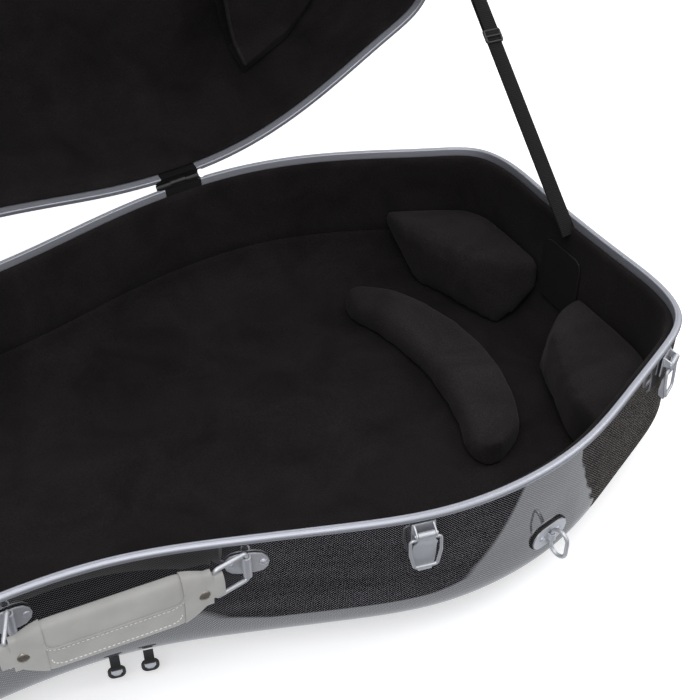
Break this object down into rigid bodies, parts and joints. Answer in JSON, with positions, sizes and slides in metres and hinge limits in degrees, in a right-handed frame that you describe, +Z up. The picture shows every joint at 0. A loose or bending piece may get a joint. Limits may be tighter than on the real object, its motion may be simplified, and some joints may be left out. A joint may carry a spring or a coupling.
{
  "type": "cello case",
  "caption": "Hard-shell cello case lying open on its back: glossy black weave shell, silver rims, black velour lining with pads and neck cradle, draw latches, grey leather handle, stay strap.",
  "frame": {"origin": "Centre of the open case's bounding box in plan, on the plane the feet stand on.", "axes": "+X runs along the case towards its tail (wide) end, +Y towards the hinges and the opened lid, +Z up. The case lies on its back with the lid open."},
  "size_m": [1.3418, 0.6108, 0.626],
  "materials": {
    "gloss_black_shell": "clear-coated black composite with a fine woven pattern under the gloss",
    "satin_aluminium": "satin anodised silver-grey extruded channel",
    "black_velour": "short-pile black velour over foam",
    "black_pad_cloth": "black velour over firm foam, a little lighter than the walls",
    "satin_steel": "satin nickel-plated pressed steel and wire",
    "dark_nickel": "dark polished nickel rivet heads",
    "grey_leather": "pale grey grained leather with stitched edges",
    "black_leather": "smooth black leather",
    "black_plastic": "moulded black nylon",
    "black_webbing": "cross-ribbed black webbing",
    "black_rubber": "black rubber"
  },
  "bodies": {
    "base": {"base_shell": "gloss_black_shell", "base_rim": "satin_aluminium", "base_wall_lining": "black_velour", "base_floor_lining": "black_velour", "crescent_pad": "black_pad_cloth", "tail_block_hinge_side": "black_pad_cloth", "tail_block_latch_side": "black_pad_cloth", "shoulder_pad_hinge_side": "black_pad_cloth", "shoulder_pad_latch_side": "black_pad_cloth", "neck_cradle": "black_pad_cloth", "endpin_patch": "black_leather", "rubber_foot_1": "black_rubber", "rubber_foot_2": "black_rubber", "rubber_foot_3": "black_rubber", "rubber_foot_4": "black_rubber", "lower_hinge_base_leaf": "black_plastic", "upper_hinge_base_leaf": "black_plastic", "lower_hinge_pin": "satin_steel", "upper_hinge_pin": "satin_steel", "latch_1_bracket": "satin_steel", "latch_2_bracket": "satin_steel", "latch_3_bracket": "satin_steel", "latch_4_bracket": "satin_steel", "handle_plate_right": "satin_steel", "handle_plate_left": "satin_steel", "tail_ring_gasket": "black_rubber", "neck_ring_gasket": "black_rubber", "tail_ring_plate": "satin_steel", "neck_ring_plate": "satin_steel", "side_tab_1": "black_webbing", "side_tab_2": "black_webbing", "stay_strap": "black_webbing"},
    "lid": {"lid_shell": "gloss_black_shell", "lid_rim": "satin_aluminium", "lid_lining": "black_velour", "accessory_pocket": "black_velour", "lower_hinge_lid_leaf": "black_plastic", "upper_hinge_lid_leaf": "black_plastic", "latch_1_keeper": "satin_steel", "latch_2_keeper": "satin_steel", "latch_3_keeper": "satin_steel", "latch_4_keeper": "satin_steel"},
    "latch_1_lever_body": {"latch_1_lever": "satin_steel"},
    "latch_1_bail_body": {"latch_1_bail": "satin_steel"},
    "latch_2_lever_body": {"latch_2_lever": "satin_steel"},
    "latch_2_bail_body": {"latch_2_bail": "satin_steel"},
    "latch_3_lever_body": {"latch_3_lever": "satin_steel"},
    "latch_3_bail_body": {"latch_3_bail": "satin_steel"},
    "latch_4_lever_body": {"latch_4_lever": "satin_steel"},
    "latch_4_bail_body": {"latch_4_bail": "satin_steel"},
    "loop_right": {"handle_loop_right": "satin_steel"},
    "loop_left": {"handle_loop_left": "satin_steel"},
    "grip": {"handle_grip": "grey_leather", "handle_rivet_right": "dark_nickel", "handle_rivet_left": "dark_nickel"},
    "tail_ring": {"tail_oval_ring": "satin_steel"},
    "neck_ring": {"neck_oval_ring": "satin_steel"},
    "tab_1_ring": {"side_tab_1_ring": "black_plastic"},
    "tab_2_ring": {"side_tab_2_ring": "black_plastic"}
  },
  "joints": [
    {"name": "lid_turn", "type": "hinge", "parent": "base", "child": "lid", "pos_m": [0.38738, 0.18899, 0.137], "axis": [0.9938, 0.1109, 0], "range_deg": [0, 77.4], "deforming": ["stay_strap"]},
    {"name": "latch_1_lever_turn", "type": "hinge", "parent": "base", "child": "latch_1_lever_body", "pos_m": [0.62809, -0.22876, 0.12322], "axis": [-0.8308, -0.5566, 0], "range_deg": [0, 110]},
    {"name": "latch_1_bail_turn", "type": "hinge", "parent": "latch_1_lever_body", "child": "latch_1_bail_body", "pos_m": [0.62743, -0.22777, 0.1185], "axis": [-0.8308, -0.5566, 0], "range_deg": [0, 90]},
    {"name": "latch_2_lever_turn", "type": "hinge", "parent": "base", "child": "latch_2_lever_body", "pos_m": [0.37425, -0.29912, 0.12319], "axis": [-0.9833, 0.1822, 0], "range_deg": [0, 110]},
    {"name": "latch_2_bail_turn", "type": "hinge", "parent": "latch_2_lever_body", "child": "latch_2_bail_body", "pos_m": [0.37447, -0.29794, 0.11847], "axis": [-0.9833, 0.1822, 0], "range_deg": [0, 90]},
    {"name": "latch_3_lever_turn", "type": "hinge", "parent": "base", "child": "latch_3_lever_body", "pos_m": [-0.02984, -0.24612, 0.12319], "axis": [-0.9983, 0.058, 0], "range_deg": [0, 110]},
    {"name": "latch_3_bail_turn", "type": "hinge", "parent": "latch_3_lever_body", "child": "latch_3_bail_body", "pos_m": [-0.02977, -0.24492, 0.11847], "axis": [-0.9983, 0.058, 0], "range_deg": [0, 90]},
    {"name": "latch_4_lever_turn", "type": "hinge", "parent": "base", "child": "latch_4_lever_body", "pos_m": [-0.34025, -0.16134, 0.12319], "axis": [-0.9934, 0.115, 0], "range_deg": [0, 110]},
    {"name": "latch_4_bail_turn", "type": "hinge", "parent": "latch_4_lever_body", "child": "latch_4_bail_body", "pos_m": [-0.34012, -0.16015, 0.11847], "axis": [-0.9934, 0.115, 0], "range_deg": [0, 90]},
    {"name": "handle_right_turn", "type": "hinge", "parent": "base", "child": "loop_right", "pos_m": [0.26202, -0.26016, 0.11371], "axis": [-0.0144, -0.0823, 0.9965], "range_deg": [-8, 40]},
    {"name": "handle_left_turn", "type": "hinge", "parent": "base", "child": "loop_left", "pos_m": [0.11114, -0.23383, 0.11371], "axis": [-0.0144, -0.0823, 0.9965], "range_deg": [-5, 21]},
    {"name": "grip_turn", "type": "hinge", "parent": "loop_right", "child": "grip", "pos_m": [0.23791, -0.26443, 0.11301], "axis": [-0.0144, -0.0823, 0.9965], "range_deg": [-46, 10]},
    {"name": "tail_ring_turn", "type": "hinge", "parent": "base", "child": "tail_ring", "pos_m": [0.48173, -0.29015, 0.06261], "axis": [0.021, -0.0821, 0.9964], "range_deg": [-70, 70]},
    {"name": "neck_ring_turn", "type": "hinge", "parent": "base", "child": "neck_ring", "pos_m": [-0.26056, -0.16854, 0.06236], "axis": [-0.0356, -0.1354, 0.9902], "range_deg": [-70, 70]},
    {"name": "tab_1_ring_turn", "type": "hinge", "parent": "base", "child": "tab_1_ring", "pos_m": [0.19627, -0.22338, 0.019], "axis": [-0.9762, 0.217, 0], "range_deg": [-15, 60]},
    {"name": "tab_2_ring_turn", "type": "hinge", "parent": "base", "child": "tab_2_ring", "pos_m": [0.17332, -0.2184, 0.019], "axis": [-0.983, 0.1836, 0], "range_deg": [-15, 60]}
  ],
  "couplings": [
    {"joint": "handle_left_turn", "follows": "handle_right_turn", "ratio": 0.52},
    {"joint": "grip_turn", "follows": "handle_right_turn", "ratio": -1.135}
  ]
}
